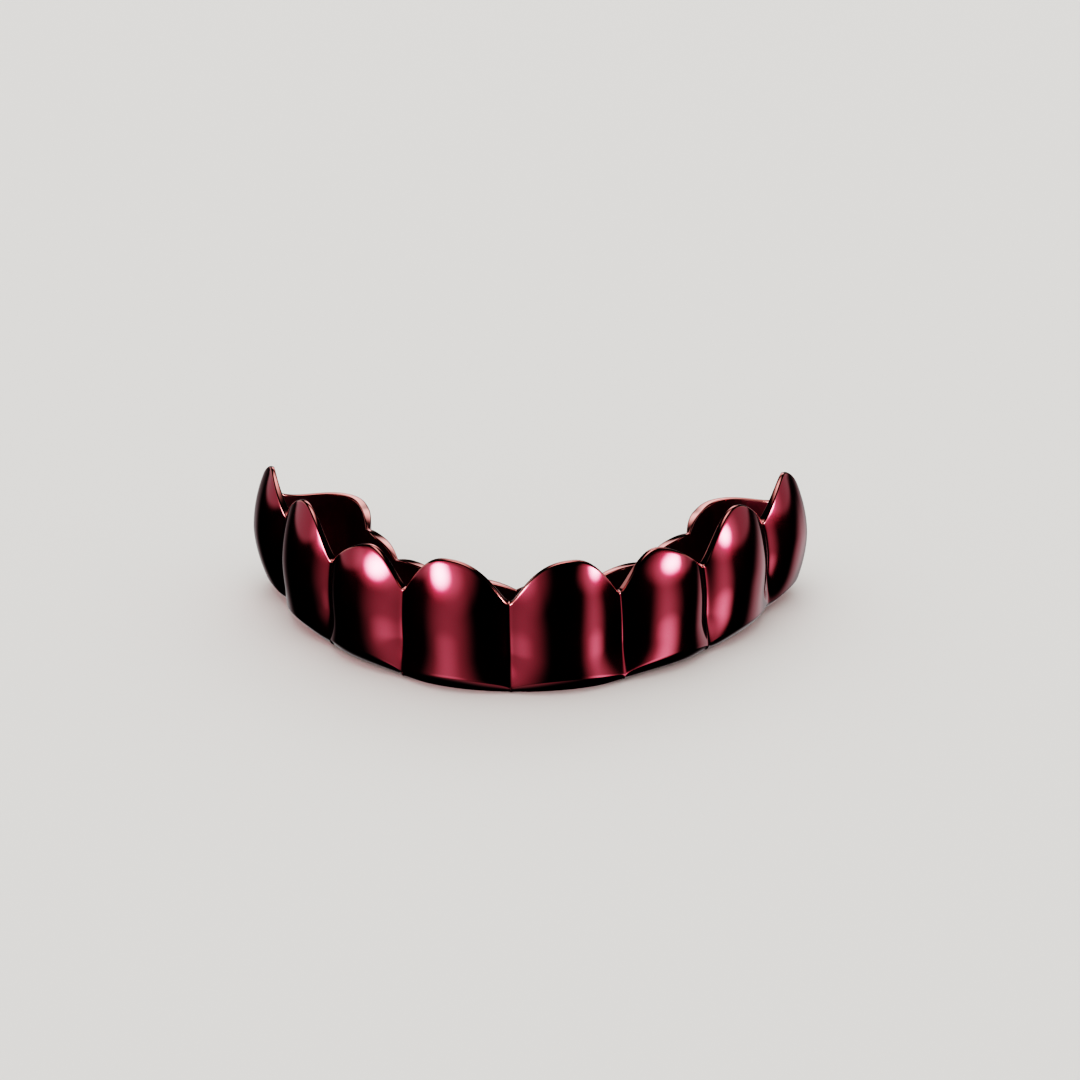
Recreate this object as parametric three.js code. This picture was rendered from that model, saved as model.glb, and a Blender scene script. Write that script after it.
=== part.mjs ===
// Upper dental grill: eight tooth caps cast as one metal piece, from first premolar to first
// premolar. It stands on its biting edges, as it does when it is taken off and put down.
//
// Millimetres. +X is the wearer's left, -Y is the front and +Z points to the gums. The two front
// caps meet at X = 0, and the origin is at the foot of the box that the piece fills, at its middle.
//
// The piece is one wall, like a trough bent round the arch. An outer skin has the relief of the
// teeth, an inner skin makes room for the wearer's own, a rim joins the two at the gums, and a
// floor closes the trough under the biting edges. Both skins are grids. A station is one upright
// line of such a grid, and the stations run once round the trough.

import * as THREE from "three";

// Driving sizes
const ARCH_HALF_WIDTH = 23.5; // half width of the ellipse that the seams between caps lie on
const ARCH_LENGTH = 31; // from the front of that ellipse to its middle
const CAP_WIDTH = 9.25; // a front cap, along that ellipse
const CAP_HEIGHT = 11.2; // a front cap, foot to the top of its scallop
const CAP_DEPTH = 8; // a premolar cap, seam line to the side behind the teeth
const VALLEY_HEIGHT = 7.7; // foot to the dip between the two front scallops
const INNER_HEIGHT = 6.6; // the wall behind the teeth
const INNER_DIP = 0.6; // how far that wall dips between two teeth
const WALL = 0.6; // metal round each cap
const RIM_TAPER = 0.25; // how much thinner that metal is at the gums
const SEAM_WALL = 0.9; // metal behind each groove
const FLOOR = 1; // metal under the biting edges
const BULGE = 1.3; // how far a cap stands proud of the seam line
const INNER_BULGE = 0.35; // the same behind the teeth
const GUM_ROLL = 1.5; // how far a cap leans in at its scallop
const EDGE_TUCK = 1.4; // how far a premolar cap leans in at its foot
const EDGE_LIFT = 0.2; // how far a lateral cap's foot stops short of the others
const BEVEL_HEIGHT = 1.3; // the crescent bevel along a biting edge, at its widest
const BEVEL_INSET = 1;
const INNER_FOOT_RADIUS = 1.4; // the rounded foot of the wall behind the teeth
const CHANNEL_RADIUS = 0.6; // the rounded corner between wall and floor inside

// Proportions of the caps, midline to back, as shares of the driving sizes. A crown is the place
// where the bulge is highest, and a shift is where the scallop is, both towards the back of the
// cap. The front and back powers shape the two flanks of the scallop.
const CAPS = [
  { name: "central", width: 1, height: 1, depth: 0.83, bulge: 0.8, crown: 0, roll: 0.8,
    tuck: 0, lift: 0, shift: 0.1, front: 2.45, back: 2.2 },
  { name: "lateral", width: 0.9, height: 0.96, depth: 0.83, bulge: 0.78, crown: 0.25, roll: 1,
    tuck: 0.2, lift: 1, shift: -0.16, front: 1.9, back: 1.7 },
  { name: "canine", width: 0.92, height: 1.03, depth: 0.9, bulge: 0.92, crown: 0, roll: 0.93,
    tuck: 0.5, lift: 0.5, shift: 0, front: 2.1, back: 1.75 },
  { name: "premolar", width: 0.84, height: 1.01, depth: 1, bulge: 1, crown: 0, roll: 1,
    tuck: 1, lift: 0, shift: 0.05, front: 1.9, back: 1.8 },
];

// The seams, midline to back. A valley is the height of the dip as a share of VALLEY_HEIGHT. A
// notch is what the rounded corners of two caps leave open at the foot, as a share of EDGE_LIFT.
const SEAMS = [
  { name: "midline", valley: 1, notch: 0.5 },
  { name: "central to lateral", valley: 1.01, notch: 1.2 },
  { name: "lateral to canine", valley: 1.01, notch: 1.6 },
  { name: "canine to premolar", valley: 1.09, notch: 3.6 },
];
const END_VALLEY = 0.9; // the top of the closed back end, as a share of VALLEY_HEIGHT

// Shape of the relief. Powers and shares have no unit.
const BARREL_POWER = 2.1; // plan of a cap between its two grooves: 2 makes it an arc
const ROLL_START = 0.41; // where the lean at the scallop starts, as a share of CAP_HEIGHT
const ROLL_POWER = 2.2;
const TUCK_START = 0.54; // where the lean at the foot starts, as a share of CAP_HEIGHT
const TUCK_POWER = 2;
const TAPER_POWER = 4; // 1 thins the metal evenly from floor to rim
const GROOVE_FOOT = 0.5; // share of its depth that a groove has at the foot
const GROOVE_FADE = 0.3; // where a groove has its full depth, as a share of CAP_HEIGHT
const VALLEY_ROUND = 0.07; // rounding of a dip, as a share of half a cap
const EDGE_FLAT = 0.5; // share of a cap's width where its foot is flat
const CRESCENT_END = 0.25; // share of the bevel that is left at a seam
const CRESCENT_POWER = 0.6;
const BEVEL_POWER = 1.7; // 1 makes a round foot and 2 a straight bevel
const ROUND_POWER = 1;
const END_SQUARENESS = 2.8; // plan of the closed back end: 2 makes it round

// Fineness of the grids
const COLUMNS_PER_CAP = 12;
const END_COLUMNS = 6; // from the middle of the last cap to the middle of the back end
const FOOT_ROWS = 3;
const OUTER_ROWS = 8;
const CORNER_ROWS = 2;
const INNER_ROWS = 6;

const METAL = { color: 0x5e0f22, metalness: 1, roughness: 0.12 };

const LAST = CAPS.length - 1;

const mix = (a, b, t) => a + (b - a) * t;
const clamp01 = (t) => Math.min(1, Math.max(0, t));

// Where the caps lie along the seam line, from the midline back
const capWidth = (index) => CAP_WIDTH * CAPS[index].width;
const capStart = (index) => (index > 0 ? capStart(index - 1) + capWidth(index - 1) : 0);
const capMiddle = (index) => capStart(index) + capWidth(index) / 2;

// The seam line runs from the front round the +X side.
const seamLine = new THREE.EllipseCurve(
  0, ARCH_LENGTH, ARCH_HALF_WIDTH, ARCH_LENGTH, -Math.PI / 2, Math.PI / 2);
seamLine.arcLengthDivisions = 2000;
const seamLineLength = seamLine.getLength();

// The plan point that lies so far along the seam line, and so far out of it.
function planPoint(along, out) {
  const point = seamLine.getPointAt(along / seamLineLength);
  const outwards = new THREE.Vector2(
    point.x / ARCH_HALF_WIDTH ** 2,
    (point.y - ARCH_LENGTH) / ARCH_LENGTH ** 2,
  ).normalize();
  return point.addScaledVector(outwards, out);
}

// A place across a cap is u: -1 at its front seam, 0 at its middle and 1 at its back seam.

// A column of the table at one place in a cap. It eases to the mean of two caps at their seam.
function blended(column, index, u) {
  const own = CAPS[index][column];
  const neighbour = CAPS[index + Math.sign(u)] ?? CAPS[index];
  return own + ((neighbour[column] - own) * u * u) / 2;
}

// 1 at the crown of a cap and 0 at its grooves.
function barrel(index, u) {
  const { crown } = CAPS[index];
  const fromCrown = Math.abs(u - crown) / (u > crown ? 1 - crown : 1 + crown);
  return 1 - fromCrown ** BARREL_POWER;
}

// How much of its depth a groove has, so high over the foot.
function grooveShare(height) {
  const t = clamp01(height / (GROOVE_FADE * CAP_HEIGHT));
  return mix(GROOVE_FOOT, 1, t * t * (3 - 2 * t));
}

// How far a cap leans in at one height, at its scallop and at its foot.
function lean(index, u, z) {
  const rollStart = ROLL_START * CAP_HEIGHT;
  const tuckStart = TUCK_START * CAP_HEIGHT;
  const up = Math.max(0, (z - rollStart) / (CAP_HEIGHT - rollStart));
  const down = Math.max(0, (tuckStart - z) / tuckStart);
  return GUM_ROLL * blended("roll", index, u) * up ** ROLL_POWER +
    EDGE_TUCK * blended("tuck", index, u) * down ** TUCK_POWER;
}

// Height of the scalloped edge at the gums. It is rounded in the dips.
function gumMargin(index, u) {
  const cap = CAPS[index];
  const isBackFlank = u > cap.shift;
  const seam = SEAMS[index + (isBackFlank ? 1 : 0)];
  const valley = VALLEY_HEIGHT * (seam ? seam.valley : END_VALLEY);
  const fromTop = (isBackFlank ? u - cap.shift : cap.shift - u) /
    (isBackFlank ? 1 - cap.shift : 1 + cap.shift);
  const fromDip = (Math.hypot(1 - fromTop, VALLEY_ROUND) - VALLEY_ROUND) /
    (Math.hypot(1, VALLEY_ROUND) - VALLEY_ROUND);
  const drop = (1 - fromDip) ** (isBackFlank ? cap.back : cap.front);
  return mix(CAP_HEIGHT * cap.height, valley, drop);
}

// Height of the foot: flat under the middle of a cap, and rounded up to the seams.
function foot(index, u) {
  const lift = EDGE_LIFT * CAPS[index].lift;
  const seam = SEAMS[index + (u > 0 ? 1 : 0)];
  if (!seam) return lift;
  const corner = clamp01((Math.abs(u) - EDGE_FLAT) / (1 - EDGE_FLAT));
  return mix(lift, EDGE_LIFT * seam.notch, corner ** 2);
}

// A station on the front of a cap. The skins give the plan point at a height, moved in by an inset.
function frontStation(index, u) {
  const along = capMiddle(index) + (u * capWidth(index)) / 2;
  const proud = BULGE * blended("bulge", index, u);
  const base = foot(index, u);
  const crescent = mix(CRESCENT_END, 1, (1 - u * u) ** CRESCENT_POWER);
  const hollow = 1 - barrel(index, u);
  const ridge = (proud - WALL + SEAM_WALL) * hollow;
  return {
    base,
    margin: gumMargin(index, u),
    footHeight: BEVEL_HEIGHT * crescent,
    footInset: BEVEL_INSET * crescent,
    footPower: BEVEL_POWER,
    outer: (inset, z) => {
      const groove = proud * hollow * grooveShare(z - base);
      return planPoint(along, proud - groove - lean(index, u, z) - inset);
    },
    inner: (inset, z) => planPoint(along, proud - WALL - ridge - lean(index, u, z) - inset),
  };
}

// The station behind the teeth at the same place, where insets go the other way.
function innerStation(index, u) {
  const along = capMiddle(index) + (u * capWidth(index)) / 2;
  const depth = CAP_DEPTH * blended("depth", index, u);
  return {
    base: foot(index, u),
    margin: INNER_HEIGHT - INNER_DIP * u * u,
    footHeight: INNER_FOOT_RADIUS,
    footInset: INNER_FOOT_RADIUS,
    footPower: ROUND_POWER,
    outer: (inset) => planPoint(along, -depth - INNER_BULGE * barrel(index, u) + inset),
    inner: (inset) => planPoint(along, -depth + WALL + inset),
  };
}

// A station on the closed back end, half way round the last cap. The turn goes from 0 on the front
// of the cap to 1 behind the teeth. Its plan is two quarters of a squarish oval.
function endStation(turn) {
  const angle = turn * Math.PI;
  const root = 2 / END_SQUARENESS;
  const side = Math.sign(Math.cos(angle));
  const along = Math.sin(angle) ** root;
  const across = side * Math.abs(Math.cos(angle)) ** root;
  const outwards = new THREE.Vector2(
    Math.sin(angle) ** (2 - root),
    side * Math.abs(Math.cos(angle)) ** (2 - root),
  ).normalize();

  const halfWidth = capWidth(LAST) / 2;
  const halfDepth = (CAP_DEPTH * CAPS[LAST].depth) / 2;
  const bulge = side > 0 ? BULGE * CAPS[LAST].bulge : INNER_BULGE;
  const innerBulge = side > 0 ? bulge : 0;
  const place = (halfLength, reach, inset) => planPoint(
    capMiddle(LAST) + halfLength * along - outwards.x * inset,
    -halfDepth + reach * across - outwards.y * inset,
  );

  const frontShare = (1 + across) / 2;
  const leanAt = (z) => frontShare * lean(LAST, 0, z);
  const sideMargin = side > 0 ? gumMargin(LAST, 0) : INNER_HEIGHT;
  return {
    base: foot(LAST, 0),
    margin: mix(sideMargin, VALLEY_HEIGHT * END_VALLEY, along ** CAPS[LAST].back),
    footHeight: mix(INNER_FOOT_RADIUS, BEVEL_HEIGHT, frontShare),
    footInset: mix(INNER_FOOT_RADIUS, BEVEL_INSET, frontShare),
    footPower: mix(ROUND_POWER, BEVEL_POWER, frontShare),
    outer: (inset, z) => place(halfWidth, halfDepth + bulge, inset + leanAt(z)),
    inner: (inset, z) => place(halfWidth - WALL, halfDepth + innerBulge - WALL, inset + leanAt(z)),
  };
}

// The points of one station on the outer skin, foot to rim.
function outerPoints({ base, margin, footHeight, footInset, footPower, outer }) {
  const points = [];
  for (let row = 0; row <= FOOT_ROWS; row += 1) {
    const angle = ((Math.PI / 2) * row) / FOOT_ROWS;
    const inset = footInset * (1 - Math.sin(angle) ** footPower);
    const z = base + footHeight * (1 - Math.cos(angle) ** footPower);
    points.push({ plan: outer(inset, z), z });
  }
  for (let row = 1; row <= OUTER_ROWS; row += 1) {
    const z = mix(base + footHeight, margin, row / OUTER_ROWS);
    points.push({ plan: outer(0, z), z });
  }
  return points;
}

// The points of one station on the inner skin, floor to rim.
function innerPoints({ base, margin, inner }) {
  const points = [];
  for (let row = 0; row <= CORNER_ROWS; row += 1) {
    const angle = ((Math.PI / 2) * row) / CORNER_ROWS;
    const inset = CHANNEL_RADIUS * (1 - Math.sin(angle));
    const z = base + FLOOR + CHANNEL_RADIUS * (1 - Math.cos(angle));
    points.push({ plan: inner(inset, z), z });
  }
  for (let row = 1; row <= INNER_ROWS; row += 1) {
    const share = row / INNER_ROWS;
    const z = mix(base + FLOOR + CHANNEL_RADIUS, margin, share);
    points.push({ plan: inner(-RIM_TAPER * share ** TAPER_POWER, z), z });
  }
  return points;
}

// All stations once round the trough: from the back end at -X along the front to the back end at
// +X, and home behind the teeth. The -X half mirrors the other.
function stationRing() {
  const front = [];
  const behind = [];
  CAPS.forEach((cap, index) => {
    const columns = index === LAST ? COLUMNS_PER_CAP / 2 : COLUMNS_PER_CAP;
    for (let column = 0; column < columns; column += 1) {
      const u = -Math.cos((Math.PI * column) / COLUMNS_PER_CAP);
      front.push(frontStation(index, u));
      behind.push(innerStation(index, u));
    }
  });
  for (let column = 0; column < END_COLUMNS; column += 1) {
    const turn = column / (2 * END_COLUMNS);
    front.push(endStation(turn));
    behind.push(endStation(1 - turn));
  }
  const backEnd = endStation(1 / 2);
  const onRight = (station) => ({ ...station, side: 1 });
  const onLeft = (station) => ({ ...station, side: -1 });
  return [
    onLeft(backEnd),
    ...front.slice(1).reverse().map(onLeft),
    ...front.map(onRight),
    onRight(backEnd),
    ...behind.toReversed().map(onRight),
    ...behind.slice(1).map(onLeft),
  ];
}

// One closed mesh: the two skins, the rim between them and the two faces of the floor.
function troughGeometry() {
  const stations = stationRing();
  const count = stations.length;
  const positions = [];
  const faces = [];
  const addQuad = (a, b, c, d) => faces.push(a, b, c, a, c, d);
  const addSkin = (pointsOf) => stations.map((station) =>
    pointsOf(station).map(({ plan, z }) =>
      positions.push(station.side * plan.x, plan.y, z) / 3 - 1));

  const outer = addSkin(outerPoints);
  const inner = addSkin(innerPoints);
  for (let here = 0; here < count; here += 1) {
    const next = (here + 1) % count;
    for (let row = 1; row <= FOOT_ROWS + OUTER_ROWS; row += 1) {
      addQuad(outer[here][row - 1], outer[next][row - 1], outer[next][row], outer[here][row]);
    }
    for (let row = 1; row <= CORNER_ROWS + INNER_ROWS; row += 1) {
      addQuad(inner[next][row - 1], inner[here][row - 1], inner[here][row], inner[next][row]);
    }
    addQuad(outer[here].at(-1), outer[next].at(-1), inner[next].at(-1), inner[here].at(-1));
  }

  // The floor spans the trough from each front station to its partner behind the teeth.
  for (let here = 1; here < count / 2 - 1; here += 1) {
    const partner = count - here;
    addQuad(outer[here + 1][0], outer[here][0], outer[partner][0], outer[partner - 1][0]);
    addQuad(inner[here][0], inner[here + 1][0], inner[partner - 1][0], inner[partner][0]);
  }
  for (const end of [0, count / 2]) {
    const before = (end + count - 1) % count;
    const after = end + 1;
    faces.push(outer[end][0], outer[before][0], outer[after][0]);
    faces.push(inner[end][0], inner[after][0], inner[before][0]);
  }

  const geometry = new THREE.BufferGeometry();
  geometry.setAttribute("position", new THREE.Float32BufferAttribute(positions, 3));
  geometry.setIndex(faces);
  return geometry;
}

// The grill, moved so that the origin is at the middle of its foot.
function upperGrill() {
  const geometry = troughGeometry();
  geometry.computeBoundingBox();
  const { min, max } = geometry.boundingBox;
  geometry.translate(0, -(min.y + max.y) / 2, -min.z);
  geometry.computeVertexNormals();
  const mesh = new THREE.Mesh(geometry, new THREE.MeshStandardMaterial(METAL));
  mesh.name = "upper_grill";
  return mesh;
}

const part = new THREE.Group();
part.name = "upper_dental_grill";
part.add(upperGrill());

export default part;
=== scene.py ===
# %% [markdown]
# # Upper dental grill
#
# A dental grill is a piece of mouth jewellery: a metal cover that slips over the upper front
# teeth. This one has eight caps, cast as one piece, polished to a mirror and coated wine red.
#
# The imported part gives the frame: its size and place are fixed. This lesson makes the same form
# again with a much finer mesh, because a mirror shows every facet. The steps are the form of a
# cap, a straight run of eight caps, a tree of Geometry Nodes that bends the run round the arch,
# the two finishes, and a small studio of soft lights.

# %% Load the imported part
import math

import bpy
import numpy as np
from mathutils import Matrix, Vector


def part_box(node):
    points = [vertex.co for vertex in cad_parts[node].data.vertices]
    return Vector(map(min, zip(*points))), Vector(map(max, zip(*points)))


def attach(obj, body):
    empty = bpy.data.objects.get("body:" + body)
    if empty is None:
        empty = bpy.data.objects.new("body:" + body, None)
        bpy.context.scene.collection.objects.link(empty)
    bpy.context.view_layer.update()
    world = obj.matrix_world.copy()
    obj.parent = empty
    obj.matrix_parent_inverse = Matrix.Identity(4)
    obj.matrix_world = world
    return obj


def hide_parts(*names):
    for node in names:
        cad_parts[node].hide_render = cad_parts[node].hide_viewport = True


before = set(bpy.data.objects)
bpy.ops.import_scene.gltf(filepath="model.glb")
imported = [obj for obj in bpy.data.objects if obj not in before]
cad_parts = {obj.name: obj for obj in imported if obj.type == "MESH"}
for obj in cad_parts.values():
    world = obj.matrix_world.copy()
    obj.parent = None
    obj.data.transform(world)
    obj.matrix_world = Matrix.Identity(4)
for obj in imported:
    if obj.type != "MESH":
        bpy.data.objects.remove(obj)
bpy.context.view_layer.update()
grill_low, grill_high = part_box("upper_grill")
MM = 0.001
print("the part fills, in mm:", [round(size / MM, 2) for size in grill_high - grill_low])

# %% [markdown]
# ## The proportions of the caps
#
# Teeth follow rules that jewellers and dental technicians know by heart. The two front caps are
# the widest, the next ones are a tenth narrower and shorter, and the pointed corner caps stand
# out most. So each cap is a row of shares, and all shares multiply a few sizes of the front cap.
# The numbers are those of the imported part, so both forms agree.

# %% Sizes and proportions
ARCH_HALF_WIDTH = 23.5 * MM  # half width of the ellipse that the seams between caps lie on
ARCH_LENGTH = 31 * MM  # from the front of that ellipse to its middle
CAP_WIDTH = 9.25 * MM  # a front cap, along that ellipse
CAP_HEIGHT = 11.2 * MM  # a front cap, foot to the top of its scallop
CAP_DEPTH = 8 * MM  # the last cap, seam line to the side behind the teeth
VALLEY_HEIGHT = 7.7 * MM  # foot to the dip between the two front scallops
INNER_HEIGHT = 6.6 * MM  # the wall behind the teeth
INNER_DIP = 0.6 * MM
WALL = 0.6 * MM  # metal round each cap
RIM_TAPER = 0.25 * MM  # how much thinner that metal is at the gums
SEAM_WALL = 0.9 * MM  # metal behind each groove
FLOOR = 1 * MM  # metal under the biting edges
BULGE = 1.3 * MM  # how far a cap stands proud of the seam line
INNER_BULGE = 0.35 * MM
GUM_ROLL = 1.5 * MM  # how far a cap leans in at its scallop
EDGE_TUCK = 1.4 * MM  # how far the last cap leans in at its foot
EDGE_LIFT = 0.2 * MM  # how far the second cap's foot stops short of the others
BEVEL_HEIGHT = 1.3 * MM  # the crescent bevel along a biting edge, at its widest
BEVEL_INSET = 1 * MM
INNER_FOOT_RADIUS = 1.4 * MM
CHANNEL_RADIUS = 0.6 * MM
RIM_RADIUS = 0.15 * MM  # the polished corners of the edge at the gums

CAPS = [
    dict(width=1, height=1, depth=0.83, bulge=0.8, crown=0, roll=0.8, tuck=0, lift=0,
         shift=0.1, front=2.45, back=2.2),
    dict(width=0.9, height=0.96, depth=0.83, bulge=0.78, crown=0.25, roll=1, tuck=0.2, lift=1,
         shift=-0.16, front=1.9, back=1.7),
    dict(width=0.92, height=1.03, depth=0.9, bulge=0.92, crown=0, roll=0.93, tuck=0.5, lift=0.5,
         shift=0, front=2.1, back=1.75),
    dict(width=0.84, height=1.01, depth=1, bulge=1, crown=0, roll=1, tuck=1, lift=0,
         shift=0.05, front=1.9, back=1.8),
]
SEAMS = [
    dict(valley=1, notch=0.5),
    dict(valley=1.01, notch=1.2),
    dict(valley=1.01, notch=1.6),
    dict(valley=1.09, notch=3.6),
]
LAST = len(CAPS) - 1
END_VALLEY = 0.9

BARREL_POWER = 2.1
ROLL_START, ROLL_POWER = 0.41, 2.2
TUCK_START, TUCK_POWER = 0.54, 2
TAPER_POWER = 4
GROOVE_FOOT, GROOVE_FADE, GROOVE_ROUND = 0.5, 0.3, 0.03
VALLEY_ROUND = 0.07
EDGE_FLAT = 0.5
CRESCENT_END, CRESCENT_POWER = 0.25, 0.6
BEVEL_POWER, ROUND_POWER = 1.7, 1
END_SQUARENESS = 2.8


def cap_width(index):
    return CAP_WIDTH * CAPS[index]["width"]


def cap_start(index):
    return sum(cap_width(before) for before in range(index))


def cap_middle(index):
    return cap_start(index) + cap_width(index) / 2


print("one side of the arch, in mm along its seams:", round(cap_start(len(CAPS)) / MM, 2))

# %% [markdown]
# ## The form of one cap
#
# A cap could be sculpted, but a rule is easier to keep even over eight caps. A place across a cap
# is u, from -1 at its front seam to 1 at its back seam, and z is the height over the table. A
# handful of short curves then say everything: how far the cap bulges at u, how deep the groove
# beside it is, how far it leans in at z, how high its scallop is and how its foot is rounded.
#
# Grooves and dips are worn round by the polishing wheel. `soft_distance` gives that: it is the
# distance from a line, with the sharp point of the graph at zero rounded off.


# %% Curves that shape a cap
def mix(a, b, share):
    return a + (b - a) * share


def clamp01(value):
    return min(1.0, max(0.0, value))


def soft_distance(distance, rounding):
    return (math.hypot(distance, rounding) - rounding) / (math.hypot(1, rounding) - rounding)


def blended(column, index, u):
    """A column of CAPS at one place. It eases to the mean of two caps at their seam."""
    own = CAPS[index][column]
    neighbour = index + (1 if u > 0 else -1)
    other = CAPS[neighbour][column] if 0 <= neighbour <= LAST else own
    return own + (other - own) * u * u / 2


def barrel(index, u):
    """1 at the crown of a cap and 0 at its grooves."""
    crown = CAPS[index]["crown"]
    from_crown = abs(u - crown) / (1 - crown if u > crown else 1 + crown)
    return 1 - (1 - soft_distance(1 - from_crown, GROOVE_ROUND)) ** BARREL_POWER


def groove_share(height):
    share = clamp01(height / (GROOVE_FADE * CAP_HEIGHT))
    return mix(GROOVE_FOOT, 1, share * share * (3 - 2 * share))


def lean(index, u, z):
    roll_start = ROLL_START * CAP_HEIGHT
    tuck_start = TUCK_START * CAP_HEIGHT
    up = max(0.0, (z - roll_start) / (CAP_HEIGHT - roll_start))
    down = max(0.0, (tuck_start - z) / tuck_start)
    roll = GUM_ROLL * blended("roll", index, u) * up**ROLL_POWER
    return roll + EDGE_TUCK * blended("tuck", index, u) * down**TUCK_POWER


def gum_margin(index, u):
    cap = CAPS[index]
    on_back = u > cap["shift"]
    seam = index + (1 if on_back else 0)
    valley = VALLEY_HEIGHT * (SEAMS[seam]["valley"] if seam <= LAST else END_VALLEY)
    reach = 1 - cap["shift"] if on_back else 1 + cap["shift"]
    from_top = abs(u - cap["shift"]) / reach
    drop = (1 - soft_distance(1 - from_top, VALLEY_ROUND)) ** cap["back" if on_back else "front"]
    return mix(CAP_HEIGHT * cap["height"], valley, drop)


def foot(index, u):
    lift = EDGE_LIFT * CAPS[index]["lift"]
    seam = index + (1 if u > 0 else 0)
    if seam > LAST:
        return lift
    corner = clamp01((abs(u) - EDGE_FLAT) / (1 - EDGE_FLAT))
    return mix(lift, EDGE_LIFT * SEAMS[seam]["notch"], corner**2)


for index in range(len(CAPS)):
    heights = [round(gum_margin(index, u) / MM, 2) for u in (-1, CAPS[index]["shift"], 1)]
    print("cap", index, "scallop from dip to top to dip, in mm:", heights)

# %% [markdown]
# ## Sections through the trough
#
# The teeth sit in a trough. A station is one upright cut through its wall: up the polished side,
# over the edge at the gums and down inside to the floor of the channel. The stations run along
# the front of the caps, round the closed back end, and home behind the teeth.
#
# Here the trough is still straight. A plan point is (along, out): along the seam line, and out of
# it. That keeps each rule flat and simple, and the bend comes later in one place.


# %% Stations on the front, behind the teeth and on the back end
def front_station(index, u):
    along = cap_middle(index) + u * cap_width(index) / 2
    proud = BULGE * blended("bulge", index, u)
    base = foot(index, u)
    crescent = mix(CRESCENT_END, 1, max(0.0, 1 - u * u) ** CRESCENT_POWER)
    hollow = 1 - barrel(index, u)
    ridge = (proud - WALL + SEAM_WALL) * hollow

    def outer(inset, z):
        groove = proud * hollow * groove_share(z - base)
        return along, proud - groove - lean(index, u, z) - inset

    def inner(inset, z):
        return along, proud - WALL - ridge - lean(index, u, z) - inset

    return dict(base=base, margin=gum_margin(index, u), foot_height=BEVEL_HEIGHT * crescent,
                foot_inset=BEVEL_INSET * crescent, foot_power=BEVEL_POWER,
                outer=outer, inner=inner)


def behind_station(index, u):
    along = cap_middle(index) + u * cap_width(index) / 2
    depth = CAP_DEPTH * blended("depth", index, u)

    def outer(inset, z):
        return along, -depth - INNER_BULGE * barrel(index, u) + inset

    def inner(inset, z):
        return along, -depth + WALL + inset

    return dict(base=foot(index, u), margin=INNER_HEIGHT - INNER_DIP * u * u,
                foot_height=INNER_FOOT_RADIUS, foot_inset=INNER_FOOT_RADIUS,
                foot_power=ROUND_POWER, outer=outer, inner=inner)


def end_station(turn):
    """On the closed back end. The turn goes from 0 on the front to 1 behind the teeth."""
    sine, cosine = math.sin(turn * math.pi), math.cos(turn * math.pi)
    root = 2 / END_SQUARENESS
    side = 1 if cosine > 0 else -1
    lengthwise = max(0.0, sine) ** root
    across = side * abs(cosine) ** root
    outwards = Vector((max(0.0, sine) ** (2 - root), side * abs(cosine) ** (2 - root)))
    outwards.normalize()

    half_width = cap_width(LAST) / 2
    half_depth = CAP_DEPTH * CAPS[LAST]["depth"] / 2
    bulge = BULGE * CAPS[LAST]["bulge"] if side > 0 else INNER_BULGE
    inner_bulge = bulge if side > 0 else 0
    front_share = (1 + across) / 2

    def place(half_length, reach, inset):
        return (cap_middle(LAST) + half_length * lengthwise - outwards.x * inset,
                -half_depth + reach * across - outwards.y * inset)

    def outer(inset, z):
        return place(half_width, half_depth + bulge, inset + front_share * lean(LAST, 0, z))

    def inner(inset, z):
        return place(half_width - WALL, half_depth + inner_bulge - WALL,
                     inset + front_share * lean(LAST, 0, z))

    side_margin = gum_margin(LAST, 0) if side > 0 else INNER_HEIGHT
    return dict(base=foot(LAST, 0),
                margin=mix(side_margin, VALLEY_HEIGHT * END_VALLEY,
                           lengthwise ** CAPS[LAST]["back"]),
                foot_height=mix(INNER_FOOT_RADIUS, BEVEL_HEIGHT, front_share),
                foot_inset=mix(INNER_FOOT_RADIUS, BEVEL_INSET, front_share),
                foot_power=mix(ROUND_POWER, BEVEL_POWER, front_share),
                outer=outer, inner=inner)


front_cap = front_station(0, 0)
half_way_up = VALLEY_HEIGHT / 2
front_wall = front_cap["outer"](0, half_way_up)[1] - front_cap["inner"](0, half_way_up)[1]
print("wall of a front cap, in mm:", round(front_wall / MM, 2))

# %% [markdown]
# ## The points of one station
#
# A mirror shows where points are few, so the rows are closest where the form turns: along the
# biting edge, at the two corners of the rim, and at the foot of the channel. A rim corner is a
# Bezier curve of three points, which meets the wall and the rim without a crease.

# %% Rows of a station
FOOT_ROWS = 14
WALL_ROWS = 40
ROUND_ROWS = 5
RIM_ROWS = 2
INNER_ROWS = 18
CHANNEL_ROWS = 6


def rounded_corner(start, corner, end):
    points = []
    for step in range(1, ROUND_ROWS + 1):
        share = step / ROUND_ROWS
        points.append(start.lerp(corner, share).lerp(corner.lerp(end, share), share))
    return points


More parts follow.
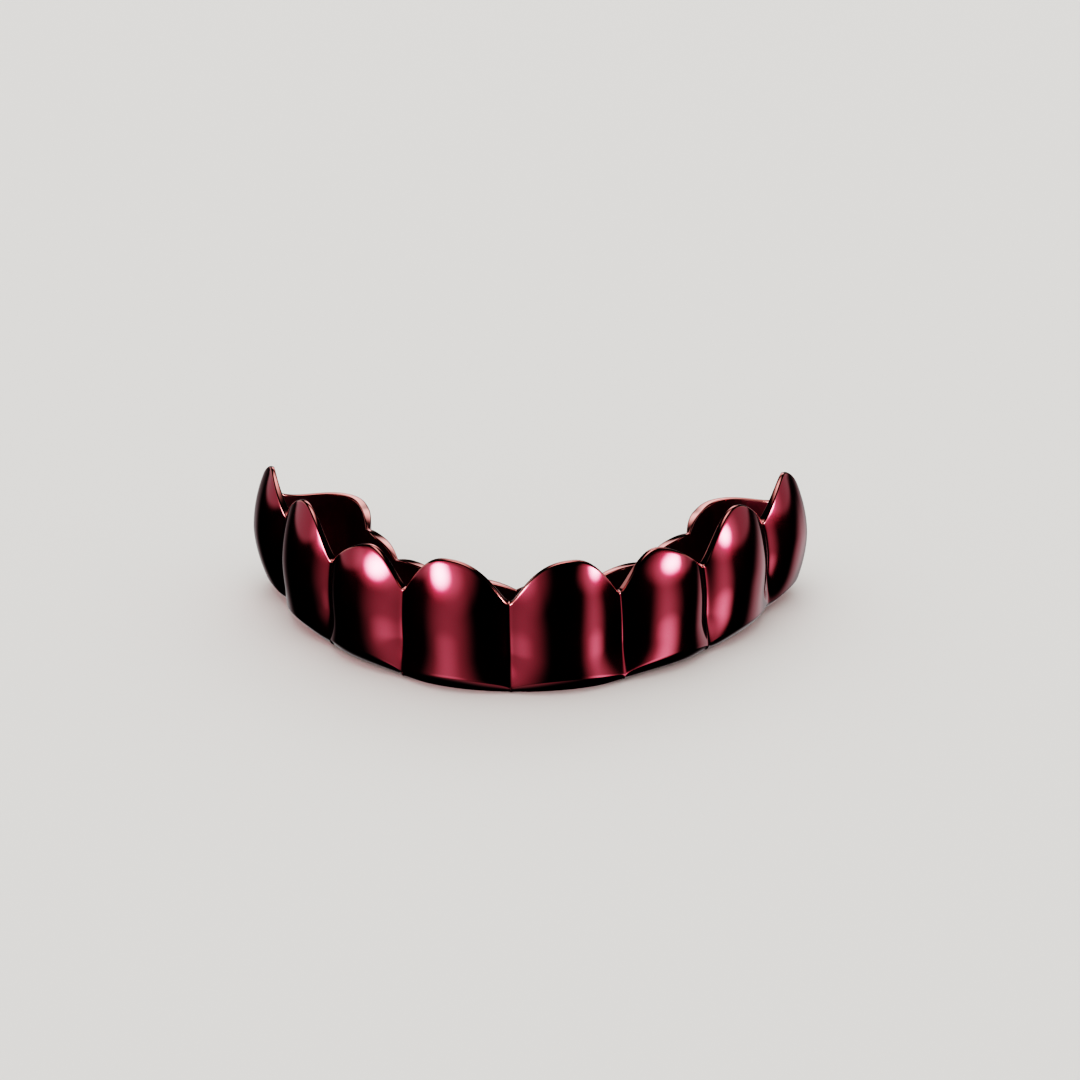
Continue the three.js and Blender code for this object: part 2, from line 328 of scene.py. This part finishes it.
def station_points(station):
    """From the foot of the polished side, over the rim, to the floor of the channel."""
    base, margin = station["base"], station["margin"]

    def at(skin, inset, z):
        return Vector((*station[skin](inset, z), z))

    points = []
    for row in range(FOOT_ROWS + 1):
        angle = math.pi / 2 * row / FOOT_ROWS
        inset = station["foot_inset"] * (1 - math.sin(angle) ** station["foot_power"])
        rise = station["foot_height"] * (1 - max(0.0, math.cos(angle)) ** station["foot_power"])
        points.append(at("outer", inset, base + rise))
    for row in range(1, WALL_ROWS + 1):
        z = mix(base + station["foot_height"], margin - RIM_RADIUS, row / WALL_ROWS)
        points.append(at("outer", 0, z))

    channel_top = base + FLOOR + CHANNEL_RADIUS

    def on_inner_wall(z):
        share = (z - channel_top) / (margin - channel_top)
        return at("inner", -RIM_TAPER * share**TAPER_POWER, z)

    outer_corner, inner_corner = at("outer", 0, margin), on_inner_wall(margin)
    across = (inner_corner - outer_corner).normalized() * RIM_RADIUS
    points += rounded_corner(points[-1], outer_corner, outer_corner + across)
    for row in range(1, RIM_ROWS + 1):
        points.append((outer_corner + across).lerp(inner_corner - across, row / RIM_ROWS))
    points += rounded_corner(points[-1], inner_corner, on_inner_wall(margin - RIM_RADIUS))

    for row in range(1, INNER_ROWS + 1):
        points.append(on_inner_wall(mix(margin - RIM_RADIUS, channel_top, row / INNER_ROWS)))
    for row in range(1, CHANNEL_ROWS + 1):
        angle = math.pi / 2 * row / CHANNEL_ROWS
        inset = CHANNEL_RADIUS * (1 - math.cos(angle))
        points.append(at("inner", inset, channel_top - CHANNEL_RADIUS * math.sin(angle)))
    return points


RIM_START = FOOT_ROWS + WALL_ROWS
RIM_END = RIM_START + ROUND_ROWS + RIM_ROWS + ROUND_ROWS
print("points in a station:", len(station_points(front_station(0, 0))))

# %% [markdown]
# ## A straight run of eight caps
#
# The stations are set out along the run, closest beside the grooves. The run is stitched into
# faces as a knitter closes a sleeve: each station to the next, and the last to the first. Two
# floors close the trough, one under the biting edges and one in the channel.
#
# Two attributes go with the mesh, for the finishes. "inside" marks the faces of the channel, and
# "rim" is 1 along the edge at the gums, where the mirror finish paints a highlight into its
# colour.

# %% Stations in order, once round the trough
COLUMNS_PER_CAP = 40
END_COLUMNS = 24
SEAM_CROWDING = 0.8  # 0 spaces the stations evenly and 1 crowds them at the seams


def column_place(column):
    share = column / COLUMNS_PER_CAP
    return mix(2 * share - 1, -math.cos(math.pi * share), SEAM_CROWDING)


def station_ring():
    front, behind = [], []
    for index in range(len(CAPS)):
        columns = COLUMNS_PER_CAP // 2 if index == LAST else COLUMNS_PER_CAP
        for column in range(columns):
            front.append(front_station(index, column_place(column)))
            behind.append(behind_station(index, column_place(column)))
    for column in range(END_COLUMNS):
        turn = column / (2 * END_COLUMNS)
        front.append(end_station(turn))
        behind.append(end_station(1 - turn))
    back_end = end_station(0.5)
    return (
        [(back_end, -1)]
        + [(station, -1) for station in front[:0:-1]]
        + [(station, 1) for station in front]
        + [(back_end, 1)]
        + [(station, 1) for station in behind[::-1]]
        + [(station, -1) for station in behind[1:]]
    )


ring = station_ring()
print("stations round the trough:", len(ring))

# %% Stitch the straight run
FLOOR_STEPS = 8


def straight_run(ring):
    points, faces, inside, rim = [], [], [], []
    columns = []
    for station, side in ring:
        column = []
        for row, (along, out, z) in enumerate(station_points(station)):
            column.append(len(points))
            points.append((side * along, -out, z))
            rim.append(1.0 if RIM_START < row < RIM_END else 0.0)
        columns.append(column)

    count, rows = len(columns), len(columns[0])
    for here in range(count):
        following = (here + 1) % count
        for row in range(1, rows):
            faces.append((columns[here][row - 1], columns[following][row - 1],
                          columns[following][row], columns[here][row]))
            inside.append(row > RIM_END)

    def floor_strip(row, here):
        """The points from a front station to its partner behind the teeth."""
        near, far = columns[here][row], columns[count - here][row]
        strip = [near]
        for step in range(1, FLOOR_STEPS):
            share = (1 - math.cos(math.pi * step / FLOOR_STEPS)) / 2
            strip.append(len(points))
            points.append(tuple(Vector(points[near]).lerp(Vector(points[far]), share)))
            rim.append(0.0)
        return strip + [far]

    for row, is_channel in ((0, False), (rows - 1, True)):
        strips = [floor_strip(row, here) for here in range(1, count // 2)]
        for left, right in zip(strips, strips[1:]):
            for step in range(FLOOR_STEPS):
                quad = (right[step], left[step], left[step + 1], right[step + 1])
                faces.append(quad[::-1] if is_channel else quad)
                inside.append(is_channel)
        left_tip, right_tip = columns[0][row], columns[count // 2][row]
        for step in range(FLOOR_STEPS):
            at_left = (left_tip, strips[0][step + 1], strips[0][step])
            at_right = (right_tip, strips[-1][step], strips[-1][step + 1])
            faces += [face[::-1] if is_channel else face for face in (at_left, at_right)]
            inside += [is_channel, is_channel]
    return points, faces, inside, rim


points, faces, inside, rim = straight_run(ring)
run_mesh = bpy.data.meshes.new("straight_run")
run_mesh.from_pydata(points, [], faces)
run_mesh.attributes.new("inside", "BOOLEAN", "FACE").data.foreach_set("value", inside)
run_mesh.attributes.new("rim", "FLOAT", "POINT").data.foreach_set("value", rim)
run_mesh.polygons.foreach_set("use_smooth", [True] * len(faces))
run_mesh.validate()
run = bpy.data.objects.new("grill_caps", run_mesh)
bpy.context.scene.collection.objects.link(run)
print("points and faces of the straight run:", len(points), len(faces))

# %% [markdown]
# ## The two finishes
#
# Outside, the casting is a mirror under a clear wine-red coating, the way a car's candy paint is
# built: the metal below reflects red, and the clear surface adds a thin white glint on top. So
# the shader is a metal with a full coat. Inside, a grill is left as it was cast, because nobody
# sees it: the same red, but satin and a little grainy.
#
# Both finishes share two effects, and each is a node group that is built once. "Polish haze" is
# the cloudy change in gloss that a cloth wheel leaves. "Casting skin" is the height of a fine
# unevenness. On the mirror they are almost nothing, and inside they are plain to see.

# %% Helpers for node trees
def socket(tree, name, kind, in_out, default=None):
    made = tree.interface.new_socket(name=name, in_out=in_out, socket_type=kind)
    if default is not None:
        made.default_value = default
    return made


def node(tree, kind, inputs=None, **settings):
    """A node with its settings, and its inputs given as values or as sockets to link from."""
    made = tree.nodes.new(kind)
    for name, value in settings.items():
        setattr(made, name, value)
    for name, value in (inputs or {}).items():
        if isinstance(value, bpy.types.NodeSocket):
            tree.links.new(value, made.inputs[name])
        else:
            made.inputs[name].default_value = value
    return made


def math_node(tree, operation, first, second=0.0):
    return node(tree, "ShaderNodeMath", {0: first, 1: second}, operation=operation).outputs[0]


# %% Polish haze, a shader group
CLOUD_START, CLOUD_END = 0.35, 0.75  # the part of the noise that fades a cloud in

haze = bpy.data.node_groups.new("Polish haze", "ShaderNodeTree")
socket(haze, "Gloss", "NodeSocketFloat", "INPUT", 0.1)
socket(haze, "Haze", "NodeSocketFloat", "INPUT", 0.04)
socket(haze, "Patch Size", "NodeSocketFloat", "INPUT", 3.0)
socket(haze, "Roughness", "NodeSocketFloat", "OUTPUT")
haze_in = node(haze, "NodeGroupInput")
haze_place = node(haze, "ShaderNodeTexCoord").outputs["Object"]
patches_per_metre = math_node(haze, "DIVIDE", 1000.0, haze_in.outputs["Patch Size"])
clouds = node(haze, "ShaderNodeTexNoise", {"Vector": haze_place, "Scale": patches_per_metre,
                                           "Detail": 3.0, "Roughness": 0.6})
cloudy = node(haze, "ShaderNodeMapRange", {"Value": clouds.outputs["Fac"],
                                           "From Min": CLOUD_START, "From Max": CLOUD_END})
added = math_node(haze, "MULTIPLY", cloudy.outputs["Result"], haze_in.outputs["Haze"])
node(haze, "NodeGroupOutput",
     {"Roughness": math_node(haze, "ADD", added, haze_in.outputs["Gloss"])})
print("Polish haze:", len(haze.nodes), "nodes")

# %% Casting skin, a shader group
SLOW_WAVES_PER_METRE = 900.0

skin = bpy.data.node_groups.new("Casting skin", "ShaderNodeTree")
socket(skin, "Grain Size", "NodeSocketFloat", "INPUT", 0.25)
socket(skin, "Wave Share", "NodeSocketFloat", "INPUT", 0.5)
socket(skin, "Height", "NodeSocketFloat", "OUTPUT")
skin_in = node(skin, "NodeGroupInput")
skin_place = node(skin, "ShaderNodeTexCoord").outputs["Object"]
grains_per_metre = math_node(skin, "DIVIDE", 1000.0, skin_in.outputs["Grain Size"])
grain = node(skin, "ShaderNodeTexNoise", {"Vector": skin_place, "Scale": grains_per_metre,
                                          "Detail": 2.0, "Roughness": 0.5})
wave = node(skin, "ShaderNodeTexNoise", {"Vector": skin_place, "Scale": SLOW_WAVES_PER_METRE,
                                         "Detail": 1.0, "Roughness": 0.4})
skin_mix = node(skin, "ShaderNodeMix", {"Factor": skin_in.outputs["Wave Share"],
                                        "A": grain.outputs["Fac"], "B": wave.outputs["Fac"]})
node(skin, "NodeGroupOutput", {"Height": skin_mix.outputs["Result"]})
print("Casting skin:", len(skin.nodes), "nodes")


# %% Build a finish from the two groups
def wine_metal(name, colour, rim_highlight_colour, gloss, haze_depth, grain_size, wave_share, bump,
               coat, coat_roughness):
    """A coated metal. Its base colour turns lighter and rosier on the rim: a painted highlight
    along that edge.
    """
    material = bpy.data.materials.new(name)
    material.use_nodes = True
    tree = material.node_tree
    shader = tree.nodes["Principled BSDF"]
    shader.inputs["Metallic"].default_value = 1.0
    shader.inputs["Coat Weight"].default_value = coat
    shader.inputs["Coat Roughness"].default_value = coat_roughness
    shader.inputs["Coat IOR"].default_value = 1.55

    # The rim attribute mixes in the rim colour, a highlight painted along the rim.
    on_rim = node(tree, "ShaderNodeAttribute", attribute_name="rim")
    rim_highlight_tint = node(tree, "ShaderNodeMix", {"Factor": on_rim.outputs["Fac"]}, data_type="RGBA")
    rim_highlight_tint.inputs["A"].default_value = (*colour, 1)
    rim_highlight_tint.inputs["B"].default_value = (*rim_highlight_colour, 1)
    tree.links.new(rim_highlight_tint.outputs["Result"], shader.inputs["Base Color"])

    hazed = node(tree, "ShaderNodeGroup", node_tree=haze)
    hazed.inputs["Gloss"].default_value = gloss
    hazed.inputs["Haze"].default_value = haze_depth
    tree.links.new(hazed.outputs["Roughness"], shader.inputs["Roughness"])

    height = node(tree, "ShaderNodeGroup", node_tree=skin)
    height.inputs["Grain Size"].default_value = grain_size
    height.inputs["Wave Share"].default_value = wave_share
    bumped = node(tree, "ShaderNodeBump", {"Height": height.outputs["Height"],
                                           "Distance": bump, "Strength": 1.0})
    tree.links.new(bumped.outputs["Normal"], shader.inputs["Normal"])
    return material


# The lighter rim colour of the mirror is a painted highlight along the rim.
mirror_finish = wine_metal("Wine red mirror", colour=(0.36, 0.014, 0.042),
                           rim_highlight_colour=(0.7, 0.2, 0.18), gloss=0.09, haze_depth=0.05,
                           grain_size=0.6, wave_share=0.9, bump=0.002 * MM,
                           coat=1.0, coat_roughness=0.03)
satin_finish = wine_metal("Wine red satin", colour=(0.22, 0.016, 0.04),
                          rim_highlight_colour=(0.22, 0.016, 0.04), gloss=0.34, haze_depth=0.12,
                          grain_size=0.22, wave_share=0.35, bump=0.03 * MM,
                          coat=0.25, coat_roughness=0.3)
print("finishes:", mirror_finish.name, "and", satin_finish.name)

# %% [markdown]
# ## Bend the run round the arch
#
# Bending is a job for Geometry Nodes, because the rule is the same for every point. The seam line
# is a quarter of an ellipse, from the front teeth back. A point of the run that lies so far along
# it goes to the place on the ellipse that is as far along, and steps out at right angles from
# there. The other side of the mouth is the mirror image.
#
# No casting is quite true, so the tree ends by moving each point in or out by a hundredth of a
# millimetre, in slow waves. It is too little to see as a shape, but a mirror shows it: the bands
# of light get the small wander that real polished metal has.

# %% The bending tree
SEAM_LINE_STEPS = 1500
WAVE_SEED = 5.0

bend = bpy.data.node_groups.new("Bend round the arch", "GeometryNodeTree")
socket(bend, "Run", "NodeSocketGeometry", "INPUT")
bend_sizes = {
    "Arch Half Width": ARCH_HALF_WIDTH,
    "Arch Length": ARCH_LENGTH,
    "Wave Height": 0.012 * MM,
    "Wave Length": 4 * MM,
}
bend_sockets = {name: socket(bend, name, "NodeSocketFloat", "INPUT", value)
                for name, value in bend_sizes.items()}
seed_socket = socket(bend, "Wave Seed", "NodeSocketFloat", "INPUT", WAVE_SEED)
outside_socket = socket(bend, "Outside", "NodeSocketMaterial", "INPUT")
inside_socket = socket(bend, "Inside", "NodeSocketMaterial", "INPUT")
socket(bend, "Bent Run", "NodeSocketGeometry", "OUTPUT")
given = node(bend, "NodeGroupInput").outputs

quarter = node(bend, "GeometryNodeCurveArc", {"Resolution": SEAM_LINE_STEPS, "Radius": 1.0,
                                              "Start Angle": -math.pi / 2,
                                              "Sweep Angle": math.pi / 2})
stretch = node(bend, "ShaderNodeCombineXYZ", {"X": given["Arch Half Width"],
                                              "Y": given["Arch Length"], "Z": 1.0})
to_front = node(bend, "ShaderNodeCombineXYZ", {"Y": given["Arch Length"]})
seam_line = node(bend, "GeometryNodeTransform", {"Geometry": quarter.outputs["Curve"],
                                                 "Scale": stretch.outputs[0],
                                                 "Translation": to_front.outputs[0]})

run_place = node(bend, "ShaderNodeSeparateXYZ",
                 {0: node(bend, "GeometryNodeInputPosition").outputs[0]}).outputs
side = math_node(bend, "SIGN", run_place["X"])
on_line = node(bend, "GeometryNodeSampleCurve",
               {"Curves": seam_line.outputs[0],
                "Length": math_node(bend, "ABSOLUTE", run_place["X"])}, mode="LENGTH")
foot_point = node(bend, "ShaderNodeSeparateXYZ", {0: on_line.outputs["Position"]}).outputs
heading = node(bend, "ShaderNodeSeparateXYZ", {0: on_line.outputs["Tangent"]}).outputs
step_x = math_node(bend, "MULTIPLY", heading["Y"], run_place["Y"])
step_y = math_node(bend, "MULTIPLY", heading["X"], run_place["Y"])
bent_x = math_node(bend, "MULTIPLY", side, math_node(bend, "SUBTRACT", foot_point["X"], step_x))
bent_y = math_node(bend, "ADD", foot_point["Y"], step_y)
bent_place = node(bend, "ShaderNodeCombineXYZ", {"X": bent_x, "Y": bent_y, "Z": run_place["Z"]})
bent = node(bend, "GeometryNodeSetPosition", {"Geometry": given["Run"],
                                              "Position": bent_place.outputs[0]})
print("bending nodes:", len(bend.nodes))

# %% The waves and the finishes in the same tree
waves_per_metre = math_node(bend, "DIVIDE", 1.0, given["Wave Length"])
waves = node(bend, "ShaderNodeTexNoise",
             {"Vector": node(bend, "GeometryNodeInputPosition").outputs[0],
              "W": given["Wave Seed"], "Scale": waves_per_metre, "Detail": 0.0},
             noise_dimensions="4D")
centred = math_node(bend, "SUBTRACT", waves.outputs["Fac"], 0.5)
push = math_node(bend, "MULTIPLY", centred, math_node(bend, "MULTIPLY", given["Wave Height"], 2.0))
push_along = node(bend, "ShaderNodeVectorMath",
                  {0: node(bend, "GeometryNodeInputNormal").outputs[0], "Scale": push},
                  operation="SCALE")
waved = node(bend, "GeometryNodeSetPosition", {"Geometry": bent.outputs[0],
                                               "Offset": push_along.outputs[0]})
is_inside = node(bend, "GeometryNodeInputNamedAttribute", {"Name": "inside"},
                 data_type="BOOLEAN")
outside_done = node(bend, "GeometryNodeSetMaterial", {"Geometry": waved.outputs[0],
                                                      "Material": given["Outside"]})
realized = node(bend, "GeometryNodeRealizeInstances", {"Geometry": outside_done.outputs[0]})
all_done = node(bend, "GeometryNodeSetMaterial",
                {"Geometry": realized.outputs[0],
                 "Selection": is_inside.outputs["Attribute"], "Material": given["Inside"]})
node(bend, "NodeGroupOutput", {"Bent Run": all_done.outputs[0]})
print("nodes in the whole tree:", len(bend.nodes))

# %% Bend, and keep the result as a plain mesh
modifier = run.modifiers.new("bend", "NODES")
modifier.node_group = bend
for name, made in bend_sockets.items():
    modifier[made.identifier] = bend_sizes[name]
modifier[seed_socket.identifier] = WAVE_SEED
modifier[outside_socket.identifier] = mirror_finish
modifier[inside_socket.identifier] = satin_finish

depsgraph = bpy.context.evaluated_depsgraph_get()
grill_mesh = bpy.data.meshes.new_from_object(run.evaluated_get(depsgraph))
grill_mesh.name = "grill_caps"
run.modifiers.remove(modifier)
run.data = grill_mesh
grill = run

# %% [markdown]
# ## Put the grill in its place
#
# The arch was drawn from the front of its seam line, and the imported part is centred on its box.
# So the mesh moves forward by the distance between the middles of the two boxes. Then the piece
# takes over from the imported part: it rides on the same body.

# %% Match the imported part's box
corners = np.empty(len(grill_mesh.vertices) * 3, np.float32)
grill_mesh.vertices.foreach_get("co", corners)
corners = corners.reshape(-1, 3)
own_low, own_high = corners.min(axis=0), corners.max(axis=0)
seam_front_y = float((grill_low.y + grill_high.y) / 2 - (own_low[1] + own_high[1]) / 2)
grill_mesh.transform(Matrix.Translation((0, seam_front_y, 0)))
print("front of the seam line, in mm:", round(seam_front_y / MM, 3))
print("size of the fine mesh, in mm:", np.round((own_high - own_low) / MM, 3))
print("triangles:", sum(len(face.vertices) - 2 for face in grill_mesh.polygons))

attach(grill, "root")
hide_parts("upper_grill")

# %% [markdown]
# ## The floor
#
# Jewellery is photographed on something plain and pale. A mirror would show that floor as a
# bright field over half of each cap and lose its dark tones. A photographer keeps the floor out
# of the metal with black cards. Here the floor is hidden from glossy rays, which does the same.
# It casts no shadow either, so panels of light may stand below it.

# %% Make the floor
FLOOR_RADIUS = 1.5
FLOOR_SIDES = 96

floor_mesh = bpy.data.meshes.new("floor")
edge_points = [(FLOOR_RADIUS * math.cos(angle), FLOOR_RADIUS * math.sin(angle), 0)
               for angle in np.linspace(0, 2 * math.pi, FLOOR_SIDES, endpoint=False)]
floor_mesh.from_pydata(edge_points, [], [tuple(range(FLOOR_SIDES))])
floor = bpy.data.objects.new("floor", floor_mesh)
bpy.context.scene.collection.objects.link(floor)
floor.visible_glossy = False
floor.visible_shadow = False

paper = bpy.data.materials.new("Pale paper")
paper.use_nodes = True
paper_shader = paper.node_tree.nodes["Principled BSDF"]
paper_shader.inputs["Base Color"].default_value = (0.8, 0.78, 0.75, 1)
paper_shader.inputs["Roughness"].default_value = 0.8
paper_shader.inputs["Specular IOR Level"].default_value = 0.2
floor_mesh.materials.append(paper)
print("floor radius, in m:", FLOOR_RADIUS)

# %% [markdown]
# ## Soft lights
#
# Lighting a mirror means choosing what it sees. Each light is a panel of stretched cloth that
# stands at a direction from the grill and is so many degrees wide and high. Directions are an
# azimuth, 0 to the front and 90 to the right, and an elevation over the table. Real cloth panels
# are brightest in the middle, and that gradient is what makes metal look round, so each panel
# has a soft edge: a softness of 1 fades all the way from the middle.
#
# A key panel stands on each side, small and bright, in a larger dim glow. The caps are nearly
# upright and the camera looks down on them, so their walls reflect what is below the horizon:
# there stand tall dim walls of light, as a polished table would show the panels. One more lies
# under the grill for the bevels, and one stands low behind it for the back of the caps. Most
# panels are there for the metal alone. Two light the floor as well.

# %% Place the panels
LIGHT_DISTANCE = 0.6
PANELS = [
    # name, azimuth, elevation, width, height, brightness, softness, lights the floor too
    ("left_key", -49, 7, 38, 20, 34, 1, False),
    ("left_glow", -48, 8, 72, 34, 1.8, 1, False),
    ("left_wall", -36, -20, 70, 84, 0.5, 1, False),
    ("left_foot", -40, -33, 40, 28, 1, 1, False),
    ("right_key", 67, 8, 29, 16, 28, 1, False),
    ("right_glow", 66, 8, 66, 30, 1.4, 1, False),
    ("right_wall", 57, -20, 38, 84, 0.8, 1, False),
    ("right_foot", 60, -32, 30, 26, 2, 1, False),
    ("right_back", 134, -26, 52, 40, 0.45, 0.8, False),
    ("under", -20, -70, 70, 50, 0.3, 1, False),
    ("back_wall", 180, -22, 104, 64, 0.35, 1, False),
    ("left_horizon", -106, 8, 88, 30, 0.5, 0.3, False),
    ("right_horizon", 102, 8, 84, 27, 0.45, 0.4, False),
    ("front_fill", -22, 10, 60, 52, 0.45, 1, False),
    ("behind", 180, 38, 70, 40, 2, 1, True),
    ("overhead", 0, 88, 70, 70, 2, 1, True),
]


def soften(light, softness):
    """Fade a panel towards its edge. Across a panel, Parametric runs from 0 to 1 both ways."""
    light.use_nodes = True
    tree = light.node_tree
    across = node(tree, "ShaderNodeNewGeometry").outputs["Parametric"]
    from_middle = node(tree, "ShaderNodeVectorMath", {0: across, 1: (0.5, 0.5, 0)},
                       operation="DISTANCE").outputs["Value"]
    fade = node(tree, "ShaderNodeMapRange", {"Value": from_middle, "From Min": 0.5,
                                             "From Max": 0.5 * (1 - softness)},
                interpolation_type="SMOOTHSTEP")
    tree.links.new(fade.outputs["Result"], tree.nodes["Emission"].inputs["Strength"])


def panel(name, azimuth, elevation, width, height, brightness, softness, lights_floor):
    light = bpy.data.lights.new(name, "AREA")
    light.shape = "RECTANGLE"
    light.size = 2 * LIGHT_DISTANCE * math.tan(math.radians(width / 2))
    light.size_y = 2 * LIGHT_DISTANCE * math.tan(math.radians(height / 2))
    light.energy = brightness * math.pi * light.size * light.size_y
    soften(light, softness)
    a, e = math.radians(azimuth), math.radians(elevation)
    out = Vector((math.sin(a) * math.cos(e), -math.cos(a) * math.cos(e), math.sin(e)))
    made = bpy.data.objects.new(name, light)
    made.location = out * LIGHT_DISTANCE
    made.rotation_euler = out.to_track_quat("Z", "Y").to_euler()
    made.visible_camera = False
    made.visible_diffuse = lights_floor
    bpy.context.scene.collection.objects.link(made)
    return made


for row in PANELS:
    print("panel", row[0], "power in W:", round(panel(*row).data.energy, 2))

# %% The pale surroundings
world = bpy.data.worlds.new("studio")
world.use_nodes = True
world.node_tree.nodes["Background"].inputs["Color"].default_value = (0.9, 0.89, 0.87, 1)
world.node_tree.nodes["Background"].inputs["Strength"].default_value = 1.0
world.cycles_visibility.glossy = False
bpy.context.scene.world = world
view = bpy.context.scene.view_settings
view.view_transform = "Filmic"
view.look = "High Contrast"
print("surroundings:", world.name, "seen with", view.view_transform, view.look)

# %% [markdown]
# ## The camera
#
# A product photographer stands back and uses a long lens, so the caps keep their proportions.
# The camera looks 25 degrees down, a little from the wearer's left, and is tipped by a degree
# and a half. It looks at a point between the caps, and the picture is square.

# %% Place the camera
CAMERA_AZIMUTH = math.radians(5.25)
CAMERA_ELEVATION = math.radians(24.8)
CAMERA_ROLL = math.radians(-1.49)
CAMERA_DISTANCE = 497.8 * MM
AIM = Vector((0, 10 * MM + seam_front_y, 6 * MM))  # in the arch, between the corner caps
SLIDE_RIGHT, SLIDE_UP = 1.70 * MM, 2.48 * MM
LENS = 204.28

back = Vector((math.sin(CAMERA_AZIMUTH) * math.cos(CAMERA_ELEVATION),
               -math.cos(CAMERA_AZIMUTH) * math.cos(CAMERA_ELEVATION),
               math.sin(CAMERA_ELEVATION)))
right = Vector((math.cos(CAMERA_AZIMUTH), math.sin(CAMERA_AZIMUTH), 0))
up = back.cross(right)
rolled_right = right * math.cos(CAMERA_ROLL) + up * math.sin(CAMERA_ROLL)
rolled_up = back.cross(rolled_right)

camera_data = bpy.data.cameras.new("camera")
camera_data.lens = LENS
camera_data.sensor_width = 36
camera_data.clip_start, camera_data.clip_end = 0.01, 20
camera = bpy.data.objects.new("camera", camera_data)
place = AIM + back * CAMERA_DISTANCE + right * SLIDE_RIGHT + up * SLIDE_UP
turn = Matrix((rolled_right, rolled_up, back)).transposed()
camera.matrix_world = Matrix.Translation(place) @ turn.to_4x4()
bpy.context.scene.collection.objects.link(camera)
bpy.context.scene.camera = camera
print("camera stands at, in m:", [round(value, 4) for value in place])
